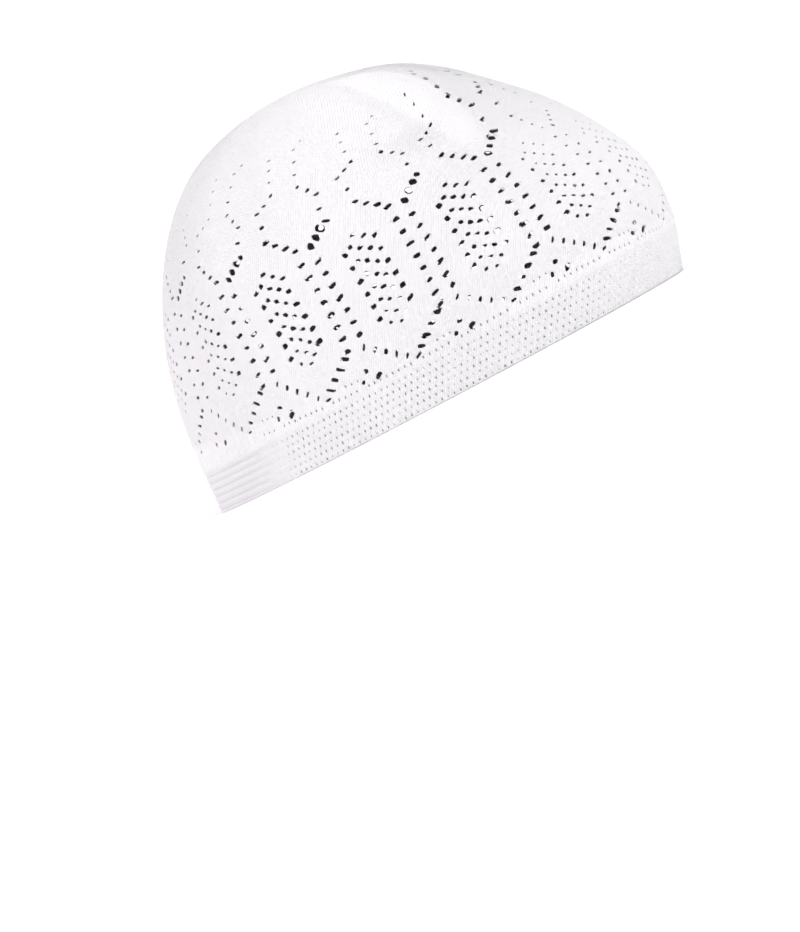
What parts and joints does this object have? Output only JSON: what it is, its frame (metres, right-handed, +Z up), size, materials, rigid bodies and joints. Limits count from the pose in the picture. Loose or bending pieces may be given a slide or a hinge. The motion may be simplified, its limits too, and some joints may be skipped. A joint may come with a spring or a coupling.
{
  "type": "kufi",
  "caption": "Close-fitting knitted skullcap: a domed openwork crown on a welted edge band, open below for the head.",
  "frame": {"origin": "on the surface that the rim rests on, under the middle of the cap's whole length and width", "axes": "+Z up out of the head opening through the crown, -Y towards the forehead, -X towards the wearer's right"},
  "size_m": [0.159, 0.2076, 0.128],
  "materials": {
    "band_knit": "matte ribbed cotton knit",
    "crown_knit": "matte openwork cotton knit"
  },
  "bodies": {
    "root": {"band": "band_knit", "crown": "crown_knit"}
  },
  "joints": []
}
